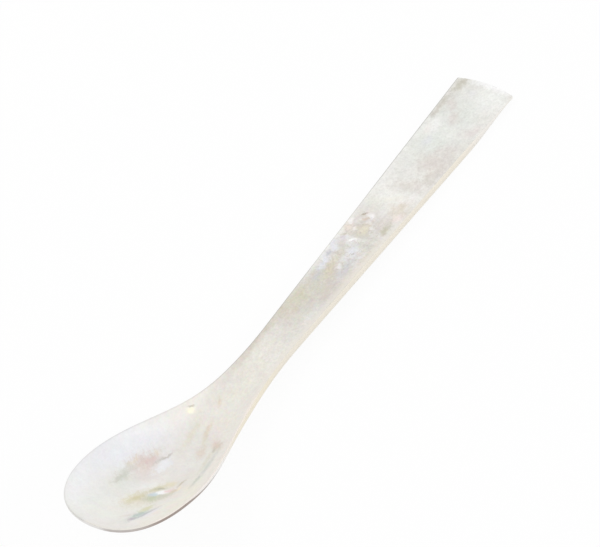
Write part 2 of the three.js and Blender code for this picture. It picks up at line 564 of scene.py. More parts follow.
def top_height(tree, size, x, across):
    """Height of the upper face; across is 0 on the middle line and 1 at the edges."""
    forward = tree.clamped((size.deepest_at - x) / size.deepest_at) ** size.nose_curve
    backward = tree.eased(x, size.deepest_at, size.hollow_to)
    hollow = size.bowl_depth * (1 - forward - backward)
    return rim_height(tree, size, x) - hollow * (1 - across**size.side_curve)


def shell_thickness(tree, size, x, across):
    inside_rim = (1 - across * across) * (1 - tree.larger(1 - x / size.tip_run, 0) ** 2)
    wall = tree.between(size.rim_thickness, size.floor_thickness, inside_rim)
    wall = tree.between(wall, size.handle_thickness, tree.eased(x, size.tip_run, size.neck_at))
    return tree.between(wall, size.end_thickness, tree.eased(x, size.taper_from, size.spoon_length))


def spoon_sheets(tree, size):
    """Places of the upper face and of the underside, and what the material needs to know of them."""
    grid_x, grid_y, _ = tree.parts(tree.out("GeometryNodeInputPosition"))
    row = tree.math("ROUND", (grid_x + 0.5) * ROWS)
    column = tree.math("ROUND", tree.math("ABSOLUTE", grid_y) * 2 * COLUMNS)
    side = tree.math("SIGN", grid_y)
    outline_x, half, out_x, out_y = spoon_outline(tree, size, row)
    face = tree.clamped(column / FACE_COLUMNS)
    corner = tree.clamped((column - FACE_COLUMNS) / CORNER_COLUMNS) * (math.pi / 2)
    wall = tree.clamped((column - FACE_COLUMNS - CORNER_COLUMNS) / WALL_COLUMNS)
    end_row = row - (NOSE_ROWS + SHOULDER_ROWS + HANDLE_ROWS)
    end_corner = tree.clamped(end_row / END_CORNER_ROWS) * (math.pi / 2)
    end_wall = tree.clamped((end_row - END_CORNER_ROWS) / END_WALL_ROWS)
    corner_level = tree.math("COSINE", corner) * tree.math("COSINE", end_corner)
    corner_out = size.edge_round * tree.math("SINE", corner) * tree.math("COSINE", end_corner)
    end_out = size.edge_round * tree.math("SINE", end_corner)
    inset = size.edge_round * tree.math("COSINE", end_corner)
    x = outline_x + (corner_out - inset) * out_x + end_out
    y = face * (half - size.edge_round * out_y) + corner_out * out_y
    across = tree.clamped(y / half)
    bow = size.end_bow * (1 - across * across) * tree.eased(x, size.taper_from, size.spoon_length)
    top = top_height(tree, size, x, across)
    thickness = shell_thickness(tree, size, x, across)
    wall_drop = (thickness / 2 - size.edge_round) * tree.larger(wall, end_wall)
    drop = size.edge_round * (1 - corner_level) + wall_drop
    upper = tree.joined(x + bow, y * side, top - drop)
    lower = tree.joined(x + bow, y * side, top - thickness + drop)
    return SimpleNamespace(
        upper=upper,
        lower=lower,
        layer=0.5 - drop / thickness,
        cut=1 - corner_level,
        inset=(half - y) * out_y,
    )


def blister_swell(tree, place):
    """Pearl blisters on the handle: 1 on their tops, 0 in the creases, and the stretch that has them."""
    along, across, _ = tree.parts(place)
    drift = tree.noise(place, BLISTER_DRIFT_SCALE, output="Color")
    drifted = tree.vector("ADD", place, tree.scaled(drift, BLISTER_DRIFT))
    large, small = (
        part * tree.out("ShaderNodeTexVoronoi", {"feature": "SMOOTH_F1"}, {
            "Vector": drifted, "Scale": scale, "Smoothness": BLISTER_SMOOTHNESS,
        }, "Distance")
        for scale, part in zip(BLISTER_SCALES, BLISTER_SHARES)
    )
    off_along = (along - BLISTER_MIDDLE[0]) / BLISTER_REACH[0]
    off_across = (across - BLISTER_MIDDLE[1]) / BLISTER_REACH[1]
    near = tree.math("SQRT", off_along**2 + off_across**2)
    return tree.eased(large + small, *BLISTER_SWELL), 1 - tree.eased(near, *BLISTER_FADE)


def uneven_depth(tree, place):
    """How far the ground faces lie below the rule, from 0 to 1."""
    along, across, height = tree.parts(place)
    wave = tree.noise(place, WAVE_SCALE)
    long, wide, high = RIPPLE_SIZE
    slanted = across + along * RIPPLE_SLANT
    ripple = tree.noise(tree.joined(along / long, slanted / wide, height / high), scale=1.0)
    return WAVE_SHARE * wave + (1 - WAVE_SHARE) * ripple


def stored(tree, geometry, name, value, kind="FLOAT"):
    """The geometry with a value kept at each point under a name."""
    return tree.out("GeometryNodeStoreNamedAttribute", {"data_type": kind, "domain": "POINT"}, {
        "Geometry": geometry, "Name": name, "Value": value,
    })


def kept(tree, name):
    """The value that is kept under a name."""
    return tree.out("GeometryNodeInputNamedAttribute", {"data_type": "FLOAT"}, {"Name": name})


def spoon_inputs(group, shape):
    """Gives the node tree an input for each size of the spoon, and returns their identifiers."""
    identifiers = {}
    for key in SpoonShape.__annotations__:
        label = shape.bl_rna.properties[key].name
        socket = group.interface.new_socket(label, in_out="INPUT", socket_type="NodeSocketFloat")
        identifiers[key] = socket.identifier
    return identifiers


def spoon_sizes(tree, keys):
    """The sizes that the node tree is given, and the places that follow from them."""
    entry = tree.node("NodeGroupInput")
    size = SimpleNamespace(**{key: Socket(tree, output) for key, output in zip(keys, entry.outputs)})
    size.neck_at = size.tip_run + size.shoulder_run
    size.spoon_length = size.neck_at + size.handle_run
    size.bend_to = size.neck_at - size.bend_to_neck
    size.deepest_at = size.tip_run + size.deepest_behind_widest
    size.hollow_to = size.neck_at - size.hollow_to_neck
    size.taper_from = size.spoon_length - size.end_taper
    return size


def closed_shell(tree, size):
    """The upper face and the underside, which meet in the middle of the cut edge."""
    grid = tree.out("GeometryNodeMeshGrid", None, {
        "Size X": 1.0, "Size Y": 1.0, "Vertices X": ROWS + 1, "Vertices Y": 2 * COLUMNS + 1,
    })
    sheets = spoon_sheets(tree, size)
    grid = stored(tree, grid, CUT, sheets.cut)
    grid = stored(tree, grid, INSET, sheets.inset)
    face = tree.out("GeometryNodeSetPosition", None, {
        "Geometry": stored(tree, grid, LAYER, sheets.layer), "Position": sheets.upper,
    })
    back = tree.out("GeometryNodeSetPosition", None, {
        "Geometry": stored(tree, grid, LAYER, -sheets.layer), "Position": sheets.lower,
    })
    back = tree.out("GeometryNodeFlipFaces", None, {"Mesh": back})
    join = tree.node("GeometryNodeJoinGeometry")
    tree.links.new(face.output, join.inputs[0])
    tree.links.new(back.output, join.inputs[0])
    shell = tree.out("GeometryNodeMergeByDistance", None, {
        "Geometry": Socket(tree, join.outputs[0]), "Distance": MERGE_DISTANCE,
    })
    return stored(tree, shell, PLACE, tree.out("GeometryNodeInputPosition"), "FLOAT_VECTOR")


def ground_relief(tree, size, shell):
    """The shell with uneven, blistered faces, cut inwards so that it stays inside its plain shape."""
    place = tree.scaled(tree.out("GeometryNodeInputPosition"), 1 / MM)
    normal = tree.out("GeometryNodeInputNormal")
    swell, blistered = blister_swell(tree, place)
    blistered = blistered * tree.eased(kept(tree, INSET), size.edge_round, size.edge_round + EDGE_FADE)
    depth = size.wave_depth * uneven_depth(tree, place) + size.blister_depth * blistered * (1 - swell)
    return tree.out("GeometryNodeSetPosition", None, {
        "Geometry": shell,
        "Offset": tree.scaled(normal, depth * (tree.clamped(kept(tree, CUT)) - 1)),
    })


def laid_down(tree, size, shell):
    """The shell turned to lie on its underside, its middle over the origin and its lowest point at 0."""
    shell = tree.out("GeometryNodeTransform", None, {
        "Geometry": shell, "Rotation": tree.joined(0.0, size.resting_angle, 0.0),
    })
    box = tree.node("GeometryNodeBoundBox", None, {"Geometry": shell})
    low_x, _, low_z = tree.parts(Socket(tree, box.outputs["Min"]))
    high_x, _, _ = tree.parts(Socket(tree, box.outputs["Max"]))
    return tree.out("GeometryNodeTransform", None, {
        "Geometry": shell, "Translation": tree.joined((low_x + high_x) / -2, 0.0, -low_z),
    })


def spoon_tree(shape, material):
    """The node tree that makes the spoon, and the identifier of each of its inputs."""
    group = bpy.data.node_groups.new("shell_spoon_shape", "GeometryNodeTree")
    group.interface.new_socket("Geometry", in_out="OUTPUT", socket_type="NodeSocketGeometry")
    identifiers = spoon_inputs(group, shape)
    tree = Tree(group)
    size = spoon_sizes(tree, identifiers)
    shell = closed_shell(tree, size)
    shell = ground_relief(tree, size, shell)
    shell = laid_down(tree, size, shell)
    shell = tree.out("GeometryNodeSetShadeSmooth", None, {0: shell})
    shell = tree.out("GeometryNodeRealizeInstances", None, {0: shell})
    shell = tree.out("GeometryNodeSetMaterial", None, {"Geometry": shell, "Material": material})
    tree.node("NodeGroupOutput", None, {0: shell})
    return group, identifiers


# Nacre


class Mark(NamedTuple):
    """A soft patch, streak or painted highlight on the shell: middle and half sizes in millimetres, turn
    in degrees.
    """

    along: float
    across: float
    long: float
    wide: float
    turn: float
    tint: tuple
    strength: float


# Broad tints of the shell, from the tip to the end, with a painted highlight at the very end
TINTS = (
    Mark(12, 5.0, 16, 9, -8, (238, 239, 236), 0.9),
    Mark(8, 9.6, 10, 2.6, 22, (244, 244, 246), 0.8),
    Mark(21, 9.0, 16, 4.2, -14, (242, 243, 249), 0.9),
    Mark(15, -8.5, 22, 5, 8, (241, 237, 224), 0.9),
    Mark(3, -4.0, 3, 4.5, 0, (234, 230, 226), 0.6),
    Mark(8, 0.5, 9, 4, -10, (236, 235, 228), 0.8),
    Mark(13, 4.5, 6.0, 3.4, 0, (228, 227, 221), 0.8),
    Mark(33, -4.5, 12, 3.6, 14, (240, 237, 232), 0.8),
    Mark(34, 6.5, 9, 3.4, -20, (244, 241, 235), 0.8),
    Mark(19.4, 3.2, 5.6, 2.8, -20, (223, 213, 209), 0.7),
    Mark(46, 0.0, 17, 9, 0, (234, 230, 220), 0.8),
    Mark(38, 0.0, 8, 6, 0, (242, 238, 230), 0.6),
    Mark(56, 4.2, 12, 2.0, 3, (207, 199, 184), 0.9),
    Mark(69, 0.0, 15, 9, 0, (211, 206, 196), 0.9),
    Mark(62, -2.9, 7.0, 1.7, 0, (228, 225, 220), 0.8),
    Mark(81, -1.0, 9, 7, 0, (230, 228, 222), 0.8),
    Mark(96, 1.0, 6, 8, -10, (244, 243, 238), 0.9),
    Mark(91.0, 2.6, 3.2, 2.6, 0, (228, 225, 217), 0.7),
    Mark(114, 1.0, 17, 9, 0, (227, 230, 224), 0.9),
    Mark(113.4, -1.4, 3.4, 4.0, 0, (237, 237, 232), 0.7),
    Mark(104, 5.0, 13, 1.0, 3, (238, 238, 234), 0.6),
    Mark(113.8, 3.8, 3.5, 2.2, 0, (246, 245, 242), 0.85),
    Mark(124.5, -3.2, 5, 4.5, 0, (242, 243, 239), 0.9),
    # Near-white strip at the handle's end: a painted highlight where the end fades into white
    Mark(127.6, -1.5, 1.4, 7, 0, (252, 252, 252), 0.9),
)

# Pink-brown plume on the far side of the bowl, its grey feather and the pale wedge behind it
PLUME = (
    Mark(20.8, 5.3, 4.8, 2.3, -14, (225, 212, 207), 1.0),
    Mark(21.6, 5.3, 2.4, 1.3, -20, (219, 198, 194), 0.6),
    Mark(19.2, 6.8, 2.4, 0.5, 4, (230, 224, 206), 0.6),
    Mark(23.9, 5.2, 1.0, 0.7, -50, (230, 220, 204), 0.6),
    Mark(15.4, 6.2, 3.8, 1.1, 2, (214, 212, 204), 0.9),
    Mark(14.8, 6.1, 2.4, 0.5, 4, (202, 202, 193), 0.5),
    Mark(22.2, 2.8, 3.4, 1.4, 10, (238, 240, 244), 0.9),
    Mark(23.7, 3.7, 3.2, 0.4, -10, (196, 190, 184), 0.8),
)

# Olive swirl in the middle of the bowl, round a lens of blue, white and pink
SWIRL = (
    Mark(13.6, -1.3, 6.4, 3.2, -20, (222, 217, 200), 0.85),
    Mark(12.0, 0.7, 3.2, 1.5, -8, (219, 211, 182), 0.9),
    Mark(12.6, 0.3, 2.2, 0.7, -12, (202, 197, 154), 0.5),
    Mark(16.5, -0.6, 2.8, 1.0, -28, (211, 206, 176), 0.9),
    Mark(13.8, -1.9, 2.3, 1.4, -40, (194, 200, 173), 0.9),
    Mark(15.4, -3.3, 2.4, 0.9, -30, (206, 206, 187), 0.8),
    Mark(17.0, -1.1, 1.6, 0.4, -50, (184, 183, 164), 0.8),
    Mark(15.0, -1.3, 1.5, 0.7, -40, (200, 214, 219), 1.2),
    Mark(16.3, -2.1, 1.5, 0.7, -40, (252, 253, 251), 1.6),
    Mark(17.2, -2.8, 1.2, 0.6, -40, (238, 217, 214), 1.2),
    Mark(17.6, -3.8, 1.3, 0.6, -20, (220, 207, 184), 0.9),
    Mark(18.9, -1.9, 1.7, 1.2, -30, (228, 220, 191), 0.8),
    Mark(20.0, -3.5, 1.9, 0.3, 2, (198, 190, 168), 0.7),
    Mark(18.4, -4.2, 1.2, 0.4, 16, (244, 236, 210), 0.9),
)

# Teal eye on the near side of the bowl
EYE = (
    Mark(8.2, -4.0, 5.0, 1.7, -6, (219, 220, 211), 0.7),
    Mark(8.2, -3.9, 2.4, 0.9, -8, (186, 197, 192), 1.1),
    Mark(10.4, -3.6, 2.0, 0.8, -10, (216, 214, 184), 1.0),
    Mark(6.1, -4.1, 1.0, 0.6, 0, (182, 172, 184), 0.9),
    Mark(8.6, -4.8, 4.0, 0.45, -6, (187, 189, 195), 0.9),
    Mark(9.6, -5.6, 3.4, 0.6, -6, (232, 232, 238), 0.7),
    Mark(6.8, -2.4, 2.0, 0.5, -30, (222, 214, 204), 0.6),
)

# Streaks that run from the bowl into the neck, and a painted highlight on the far wall
NECK_STREAKS = (
    Mark(32.2, 0.7, 2.6, 0.7, 20, (221, 215, 196), 0.7),
    Mark(34.2, 1.3, 2.2, 0.6, 14, (228, 218, 196), 0.7),
    Mark(31.0, 3.0, 4.8, 0.8, 8, (229, 223, 208), 0.7),
    Mark(28.6, -0.9, 2.4, 1.3, 20, (227, 216, 205), 0.9),
    Mark(31.2, -3.0, 2.4, 1.3, 50, (224, 208, 197), 1.0),
    Mark(30.0, -3.0, 1.2, 0.5, 30, (196, 192, 180), 0.8),
    Mark(25.4, -5.2, 7.2, 0.9, 13, (214, 215, 211), 0.9),
    Mark(21.0, -6.1, 2.4, 0.5, 10, (202, 204, 194), 0.7),
    Mark(27.0, -3.6, 5.0, 0.7, 16, (222, 218, 204), 0.7),
    # Yellow-white glint on the far wall by the neck: a painted highlight
    Mark(34.8, 5.2, 1.0, 0.6, -20, (255, 253, 230), 1.5),
    Mark(35.4, 5.5, 0.7, 0.16, -28, (176, 166, 148), 0.7),
    Mark(39.5, 2.3, 1.3, 0.5, 30, (224, 209, 192), 0.6),
)

# Pearls and the stains between them on the blistered stretch of the handle; the near-white marks are
# painted highlights on the pearls
PEARLS = (
    Mark(80.5, 4.6, 13, 1.2, 2, (241, 240, 235), 1.0),
    Mark(65.0, 2.4, 7.0, 2.4, 0, (211, 205, 184), 0.7),
    Mark(69.5, -2.2, 3.6, 1.4, 15, (208, 200, 192), 0.7),
    Mark(78.0, -4.0, 9.0, 1.3, 2, (228, 221, 209), 0.85),
    Mark(75.0, 1.0, 5.4, 1.3, 10, (219, 212, 193), 0.9),
    Mark(75.2, -1.7, 4.2, 1.1, 8, (213, 212, 213), 0.9),
    Mark(71.5, 2.1, 1.4, 0.8, 20, (200, 202, 198), 0.7),
    Mark(75.5, 3.2, 3.0, 1.1, 12, (231, 233, 239), 1.1),
    Mark(79.6, 3.6, 2.0, 1.2, 30, (233, 234, 239), 1.0),
    Mark(77.7, 3.6, 0.8, 0.8, 20, (200, 202, 208), 0.8),
    Mark(79.8, -0.4, 2.3, 1.5, 40, (233, 234, 238), 1.1),
    Mark(79.4, -1.2, 0.6, 0.2, -20, (190, 190, 184), 0.8),
    Mark(82.3, 1.5, 1.6, 0.9, 60, (236, 236, 236), 1.0),
    # Painted highlight on a pearl
    Mark(82.4, 1.5, 1.4, 0.6, -63, (252, 252, 251), 1.3),
    Mark(82.2, 3.5, 0.9, 0.9, 0, (220, 213, 216), 0.8),
    Mark(82.6, -2.0, 3.0, 1.6, 20, (220, 216, 207), 0.7),
    Mark(83.2, 3.3, 0.4, 1.2, 20, (198, 184, 170), 0.6),
    Mark(84.8, 3.7, 1.9, 1.3, 15, (236, 224, 215), 1.0),
    # Painted highlights on two small pearls
    Mark(85.0, 2.4, 0.6, 0.5, 0, (250, 245, 240), 1.1),
    Mark(86.4, 4.3, 1.1, 0.6, -20, (251, 248, 245), 1.1),
    Mark(85.6, 0.7, 2.3, 1.9, 0, (207, 198, 178), 0.7),
    Mark(85.6, 0.7, 1.7, 1.3, 0, (232, 225, 204), 1.0),
    Mark(88.5, -2.2, 2.6, 1.6, 0, (221, 215, 208), 0.7),
    Mark(87.1, -3.2, 2.2, 1.2, 20, (204, 200, 181), 0.9),
    # Painted highlight on a pearl, with brown beside it
    Mark(88.7, 1.2, 1.3, 0.9, 20, (250, 248, 246), 1.2),
    Mark(87.9, 1.9, 0.5, 0.7, 0, (218, 203, 188), 0.9),
    Mark(88.4, 1.2, 0.5, 0.4, 20, (228, 229, 230), 0.8),
    Mark(89.0, 2.6, 0.8, 0.3, -18, (172, 158, 142), 0.9),
    Mark(92.4, -2.9, 3.2, 2.6, 0, (224, 214, 199), 0.8),
    Mark(90.4, -3.6, 1.3, 1.0, 10, (243, 230, 224), 1.0),
)

# Clouds towards the handle's end, along the shell's growth lines
END_CLOUDS = (
    Mark(94.6, -0.5, 5.0, 1.0, -63, (244, 240, 231), 0.8),
    Mark(98.4, -0.9, 5.0, 2.2, -72, (226, 219, 214), 0.95),
    Mark(103.0, -4.0, 6.0, 2.4, -12, (219, 213, 206), 0.9),
    Mark(105.6, -1.6, 4.6, 3.2, -40, (223, 216, 210), 0.85),
    Mark(109.0, -3.0, 3.6, 2.4, -30, (222, 216, 211), 0.85),
    Mark(110.2, 2.3, 1.8, 1.3, 0, (230, 231, 236), 0.6),
    Mark(112.8, 4.4, 2.0, 0.9, 0, (242, 236, 231), 0.7),
    Mark(115.2, -4.4, 2.8, 1.5, -35, (230, 223, 219), 0.8),
    Mark(117.2, 0.9, 2.6, 1.6, 30, (224, 217, 212), 0.8),
    Mark(120.3, 3.5, 2.6, 1.3, 30, (221, 214, 208), 0.8),
    Mark(119.3, 5.3, 5.0, 1.1, 0, (206, 202, 192), 0.9),
    Mark(125.6, 4.8, 2.8, 1.4, 0, (203, 199, 186), 0.9),
    Mark(124.4, 1.2, 1.3, 1.0, 0, (231, 231, 232), 0.6),
)


def mark_group():
    """The node group that lays one mark over a base colour; feather breaks up the mark's outline."""
    group = bpy.data.node_groups.new("shell_mark", "ShaderNodeTree")
    kinds = {
        "Base": "Color", "Place": "Vector", "Feather": "Float", "Middle": "Vector", "Turn": "Vector",
        "Size": "Vector", "Tint": "Color", "Strength": "Float",
    }
    for name, kind in kinds.items():
        group.interface.new_socket(name, in_out="INPUT", socket_type=f"NodeSocket{kind}")
    group.interface.new_socket("Colour", in_out="OUTPUT", socket_type="NodeSocketColor")
    tree = Tree(group)
    entry = tree.node("NodeGroupInput")
    base, place, feather, middle, turn, size, tint, strength = (
        Socket(tree, output) for _, output in zip(kinds, entry.outputs)
    )
    seen = tree.placed(place, middle, turn, size)
    settings = {"gradient_type": "SPHERICAL"}
    inside = tree.out("ShaderNodeTexGradient", settings, {"Vector": seen}, "Fac")
    near = tree.larger(MARK_REACH * (1 - inside) + feather, 0.0)
    mask = tree.math("POWER", MARK_RIM, near**MARK_FADE)
    tree.node("NodeGroupOutput", None, {0: tree.blend(base, tint, mask * strength)})
    return group


def marked(tree, base, field, place, feather, marks):
    """The base colour with each mark laid over it."""
    for mark in marks:
        base = tree.out("ShaderNodeGroup", {"node_tree": field.mark}, {
            "Base": base,
            "Place": place,
            "Feather": feather,
            "Middle": (mark.along, mark.across, 0.0),
            "Turn": (0.0, 0.0, math.radians(mark.turn)),
            "Size": (mark.long * MARK_REACH, mark.wide * MARK_REACH, MARK_DEPTH),
            "Tint": (*shade(*mark.tint), 1.0),
            "Strength": mark.strength,
        })
    return base


def shell_fields(tree):
    """What the shell's colours follow: places in millimetres, and noises laid out on them."""
    place = tree.scaled(tree.attribute(PLACE, "Vector"), 1 / MM)
    along, across, _ = tree.parts(place)
    layer = tree.attribute(LAYER, "Fac")
    drift = tree.drift(place, scale=0.5, detail=4.0, roughness=0.65)
    warped = tree.vector("ADD", place, tree.scaled(drift, BROAD_WARP))
    lengthwise = tree.placed(warped, (0, 0, 0), (0, 0, math.radians(STREAK_TURN)), STREAK_SIZE)
    upright = tree.placed(warped, (0, 0, 0), (0, 0, math.radians(SPIKE_TURN)), SPIKE_SIZE)
    return SimpleNamespace(
        mark=mark_group(),
        place=place,
        along=along,
        across=across,
        warped=warped,
        steady=tree.vector("ADD", place, tree.scaled(drift, THIN_WARP)),
        cut=tree.attribute(CUT, "Fac"),
        layer=layer,
        upper=tree.eased(layer, *UPPER_SIDE),
        inset=tree.attribute(INSET, "Fac") / MM,
        streaks=tree.sway(lengthwise, scale=1.0, detail=4.0, roughness=0.65),
        spikes=tree.sway(upright, scale=1.0, detail=3.0, roughness=0.6),
        clouds=tree.sway(warped, scale=0.11, detail=3.0, roughness=0.55),
        mottle=tree.sway(place, scale=0.7, detail=3.0, roughness=0.7),
        grain=tree.sway(place, scale=2.0, detail=3.0, roughness=0.8),
        crinkles=tree.math("ABSOLUTE", tree.sway(warped, scale=0.55, roughness=0.6)) - CRINKLE_MEAN,
        flecks=tree.drift(place, scale=1.5, roughness=0.7),
        hues=tree.drift(warped, scale=0.3, detail=5.0, roughness=0.7, distortion=0.4),
    )


def pearl_cracks(tree, field):
    """Fine dark lines round the small pearls."""
    border = tree.out("ShaderNodeTexVoronoi", {"feature": "DISTANCE_TO_EDGE"}, {
        "Vector": field.warped, "Scale": CRACK_SCALE,
    }, "Distance")
    return tree.eased(border, *CRACK_WIDTH) * tree.eased(field.mottle, *CRACK_RANGE)


def blister_tint(tree, finish, field, tint, feather):
    """The blistered stretch laid over a colour: painted shade in the creases, painted highlights on the
    tops, pearls and fine cracks.
    """
    swell, blistered = blister_swell(tree, field.place)
    # Painted shade in the creases, then painted highlights on the tops
    crease_shaded = tree.eased(swell, *CREASE_SHADE_RANGE) * blistered * finish.crease_weight
    tint = tree.blend(tint, tuple(finish.crease_shade), crease_shaded)
    crest_highlighted = tree.eased(swell, *CREST_HIGHLIGHT_RANGE) * blistered * finish.crest_highlight_weight
    tint = tree.blend(tint, tuple(finish.crest_highlight), crest_highlighted)
    tint = marked(tree, tint, field, field.warped, feather, PEARLS)
    cracked = pearl_cracks(tree, field) * blistered * finish.crack_weight
    return tree.blend(tint, tuple(finish.crack), cracked)


def grained(tree, finish, field, tint):
    """A colour with the shell's drifting hues, flecks and grain."""
    in_bowl = 1 - tree.eased(field.along, *BOWL_ENDS)
    at_end = tree.eased(field.along, *END_BEGINS)
    near_wall = in_bowl * tree.eased(field.across, *NEAR_WALL)
    shimmer = finish.shimmer + finish.wall_shimmer * near_wall - finish.end_shimmer * at_end
    tint = tree.vector("ADD", tint, tree.scaled(field.hues, shimmer))
    on_neck = tree.stretch(field.along, FLECKS_BEGIN, FLECKS_END)
    flecks = finish.flecks + finish.neck_flecks * on_neck
    tint = tree.vector("ADD", tint, tree.scaled(field.flecks, flecks))
    grainy = tree.between(finish.bowl_grain, 1.0, tree.eased(field.along, *GRAIN_BEGINS))
    light = 1 + grainy * (field.grain * finish.grain + field.mottle * finish.mottle)
    light = light + in_bowl * field.spikes * finish.bowl_strokes
    return tree.scaled(tint, light + at_end * field.crinkles * finish.end_crinkles)


def face_tint(tree, finish, field):
    """Colour of the ground faces: clouds, marks with some painted highlights, blisters with painted shade
    and highlights, shimmer and grain.
    """
    ragged = field.streaks * RAGGED_STREAKS + field.spikes * RAGGED_SPIKES
    crisp = ragged * CRISP_SHARE
    cloudy = field.mottle * CLOUDY_MOTTLE + field.spikes * CLOUDY_SPIKES
    plain = tree.blend(tuple(finish.grey), tuple(finish.pale), tree.eased(field.clouds, *CLOUD_RANGE))
    plain = marked(tree, plain, field, field.warped, field.streaks * TINT_STREAKS, TINTS)
    tint = marked(tree, plain, field, field.warped, ragged, PLUME)
    for marks in (SWIRL, EYE, NECK_STREAKS):
        tint = marked(tree, tint, field, field.steady, crisp, marks)
    tint = blister_tint(tree, finish, field, tint, cloudy)
    tint = marked(tree, tint, field, field.warped, cloudy, END_CLOUDS)
    tint = tree.blend(plain, tint, tree.between(finish.underside_marks, 1.0, field.upper))
    return grained(tree, finish, field, tint)


def edge_tint(tree, finish, field):
    """Colour of the cut edge: cream layers, and a brown painted shade in the cut edge along the bowl's
    near rim.
    """
    golden = tree.stretch(field.along, GOLDEN_EDGE_BEGINS, GOLDEN_EDGE_ENDS)
    warmth = tree.clamped(golden + field.mottle)
    tint = tree.blend(tuple(finish.cut_edge), tuple(finish.warm_edge), warmth)
    at_end = finish.white_end * tree.eased(field.along, *WHITE_EDGE_RETURNS)
    at_tips = 1 - tree.eased(field.along, *WHITE_EDGE_ENDS) + at_end
    tint = tree.blend(tint, tuple(finish.tip_edge), at_tips)
    brown_from = tree.between(*BROWN_FROM, tree.eased(field.along, *BROWN_SHADE_THINS))
    brown = tree.eased(field.layer, brown_from + BROWN_FADE[0], brown_from + BROWN_FADE[1])
    near_side = tree.eased(field.across, *NEAR_SIDE)
    on_rim = tree.between(finish.brown_nose, 1.0, tree.eased(field.along, *BROWN_RIM_BEGINS))
    on_rim = on_rim - tree.eased(field.along, *BROWN_RIM_ENDS)
    # Painted shade in the cut edge, on the near side of the bowl's rim only
    tint = tree.blend(tint, tuple(finish.rim_edge_shade), tree.clamped(brown * near_side * on_rim))
    drawn_out = tree.joined(
        field.along * GROWTH_LINE_SCALE, field.layer * GROWTH_LINES, field.across * GROWTH_LINE_SCALE
    )
    light = finish.edge_light + finish.edge_lines * tree.noise(drawn_out, scale=1.0)
    return tree.scaled(tint, light + finish.edge_fall * field.layer + finish.edge_grain * field.grain)


def edge_strips(tree, finish, field, tint):
    """Strips laid over a colour along the upper face's edges: painted shade on the far corner, a painted
    highlight inside the near rim, and a creamy strip along the near edge.
    """
    far_side = tree.eased(field.across, *FAR_SIDE)
    # Painted shade along the far edge's eased corner
    far_corner_shade = tree.eased(field.inset, *FAR_SHADE_LINE) * far_side * tree.eased(field.layer, *UPPER_CORNER)
    beside_pearls = tree.stretch(field.along, FAR_SHADE_LINE_FADES, FAR_SHADE_LINE_RETURNS)
    on_handle = tree.eased(field.along, *FAR_SHADE_LINE_BEGINS) - finish.far_shade_gap * beside_pearls
    far_weight = tree.between(finish.far_shade_on_bowl, 1.0, on_handle)
    tint = tree.blend(tint, tuple(finish.far_corner_shade), far_corner_shade * far_weight)
    near_edge = tree.eased(field.inset, *NEAR_STRIP) * (1 - far_side) * field.upper
    near_edge = near_edge * tree.eased(field.cut, *FACE_BESIDE_CUT)
    on_bowl = 1 - tree.eased(field.along, *RIM_STRIP_ENDS)
    on_nose = 1 - tree.eased(field.along, *NOSE_STRIP_ENDS)
    on_grip = 1 - on_bowl - tree.eased(field.along, *GRIP_STRIP_ENDS)
    # Painted highlight inside the bowl's near rim
    tint = tree.blend(tint, tuple(finish.near_rim_highlight), near_edge * (on_bowl - on_nose))
    creamy = near_edge * (on_grip + on_nose) * finish.strip_weight
    return tree.blend(tint, tuple(finish.near_strip), creamy)


def shell_nacre(finish):
    """Polished mother-of-pearl: clouds, feathered marks, blisters and a cut edge in layers."""
    material = bpy.data.materials.new("shell_nacre")
    material.use_nodes = True
    tree = Tree(material.node_tree)
    field = shell_fields(tree)
    face = face_tint(tree, finish, field)
    edge = edge_tint(tree, finish, field)
    tint = tree.blend(face, edge, tree.eased(field.cut, *CUT_EDGE))
    bumps = tree.out("ShaderNodeBump", None, {
        "Strength": finish.bump, "Distance": finish.bump_height, "Height": field.grain + field.streaks,
    })
    surface = tree.out("ShaderNodeBsdfPrincipled", None, {
        "Base Color": edge_strips(tree, finish, field, tint),
        "Roughness": finish.roughness + field.clouds * finish.cloud_roughness,
        "Normal": bumps,
        "Coat Weight": finish.coat,
        "Coat Roughness": finish.coat_roughness,
        "IOR": finish.refraction,
    })
    tree.node("ShaderNodeOutputMaterial", None, {"Surface": surface})
    return material


# Studio


def seen_directly(tree):
    """1 for what the camera sees, also in a polish or through glass, and 0 for what lights the object."""
    path = tree.node("ShaderNodeLightPath")
    camera, glossy, through = (Socket(tree, path.outputs[name]) for name in SEEING_RAYS)
    return tree.larger(tree.larger(camera, glossy), through)


def pale_floor(stage):
    """A pale floor that shows as white and keeps a trace of the spoon's shadow."""
    material = bpy.data.materials.new("pale_floor")
    material.use_nodes = True
    tree = Tree(material.node_tree)
    lit = tree.out("ShaderNodeBsdfDiffuse", None, {"Color": (*stage.floor, 1.0)})
    white = tree.out("ShaderNodeEmission", None, {"Color": WHITE, "Strength": 1.0})
    shown = seen_directly(tree) * stage.floor_white
    mixed = tree.out("ShaderNodeMixShader", None, {0: shown, 1: lit, 2: white})
    tree.node("ShaderNodeOutputMaterial", None, {"Surface": mixed})
    return material


def surrounding_light(stage):
    """Even light from all around, which shows as white."""
    world = bpy.data.worlds.new("even_light")
    world.use_nodes = True
    tree = Tree(world.node_tree)
    seen = seen_directly(tree)
    strength = seen + (1 - seen) * stage.fill
    light = tree.out("ShaderNodeBackground", None, {"Color": WHITE, "Strength": strength})
    tree.node("ShaderNodeOutputWorld", None, {"Surface": light})
    return world


def add_object(name, data):
    made = bpy.data.objects.new(name, data)
    bpy.context.scene.collection.objects.link(made)
    return made


def direction(azimuth, elevation):
    """Unit vector to a place round the spoon; azimuth 0 is in front, towards -Y."""
    level = math.cos(elevation)
    return Vector((math.sin(azimuth) * level, -math.cos(azimuth) * level, math.sin(elevation)))


